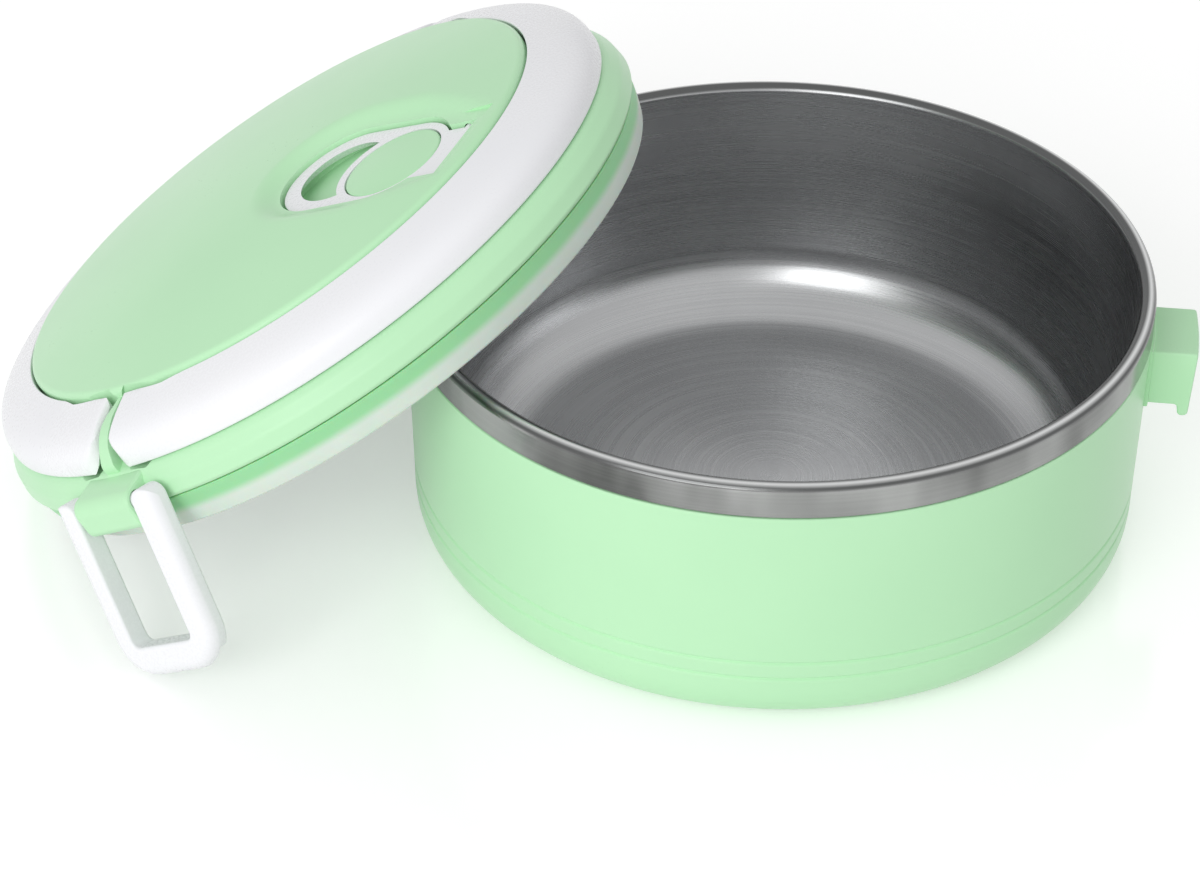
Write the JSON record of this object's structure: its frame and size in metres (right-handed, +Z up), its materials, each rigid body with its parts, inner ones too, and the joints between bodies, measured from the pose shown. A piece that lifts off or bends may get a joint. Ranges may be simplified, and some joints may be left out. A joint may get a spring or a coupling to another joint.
{
  "type": "insulated lunch box",
  "caption": "Round insulated lunch box with a steel inner bowl, a domed clip-on lid leaning off it, fold-down carry handles, swing latch loops and a steam vent flap.",
  "frame": {"origin": "middle of the body's flat base, on the surface it stands on", "axes": "+Z up along the bowl's axis, +X through the right-hand catch, +Y away from the viewer"},
  "size_m": [0.2405, 0.1658, 0.0941],
  "materials": {
    "green_plastic": "pale mint green polypropylene, softly glossy",
    "white_plastic": "white polypropylene, softly glossy",
    "steel": "stainless steel, brushed round the wall, bright on the rolled rim",
    "silicone": "milky translucent silicone",
    "foam": "rigid cream foam, hidden inside"
  },
  "bodies": {
    "bowl": {"outer_shell": "green_plastic", "bowl_insulation": "foam", "inner_bowl": "steel", "catch_right": "green_plastic", "catch_left": "green_plastic"},
    "lid": {"lid_cover": "green_plastic", "lid_insulation": "foam", "lid_liner": "white_plastic", "lid_seal": "silicone"},
    "handle_vent_side": {"carry_handle_vent_side": "white_plastic"},
    "handle_plain_side": {"carry_handle_plain_side": "white_plastic"},
    "latch_front": {"latch_loop_front": "white_plastic"},
    "latch_back": {"latch_loop_back": "white_plastic"},
    "vent": {"vent_flap": "white_plastic", "vent_disc": "green_plastic", "vent_plug": "silicone"}
  },
  "joints": [
    {"name": "lid_lift", "type": "slide", "parent": "bowl", "child": "lid", "axis": [0, 0, 1], "range_m": [0, 0.1]},
    {"name": "handle_vent_side_hinge", "type": "hinge", "parent": "lid", "child": "handle_vent_side", "pos_m": [-0.09354, 0.00304, 0.0594], "axis": [-0.3211, -0.9324, -0.1656], "range_deg": [0, 90]},
    {"name": "handle_plain_side_hinge", "type": "hinge", "parent": "lid", "child": "handle_plain_side", "pos_m": [-0.10489, 0.00829, 0.05187], "axis": [0.3211, 0.9324, 0.1656], "range_deg": [0, 90]},
    {"name": "latch_front_hinge", "type": "hinge", "parent": "lid", "child": "latch_front", "pos_m": [-0.11873, -0.06563, 0.03538], "axis": [-0.7777, 0.3594, -0.5158], "range_deg": [-29, 102]},
    {"name": "latch_back_hinge", "type": "hinge", "parent": "lid", "child": "latch_back", "pos_m": [-0.06986, 0.07629, 0.06058], "axis": [0.7777, -0.3594, 0.5158], "range_deg": [-1, 130]},
    {"name": "vent_flap_hinge", "type": "hinge", "parent": "lid", "child": "vent", "pos_m": [-0.06239, -0.01202, 0.08377], "axis": [0.3211, 0.9324, 0.1656], "range_deg": [0, 85]}
  ]
}
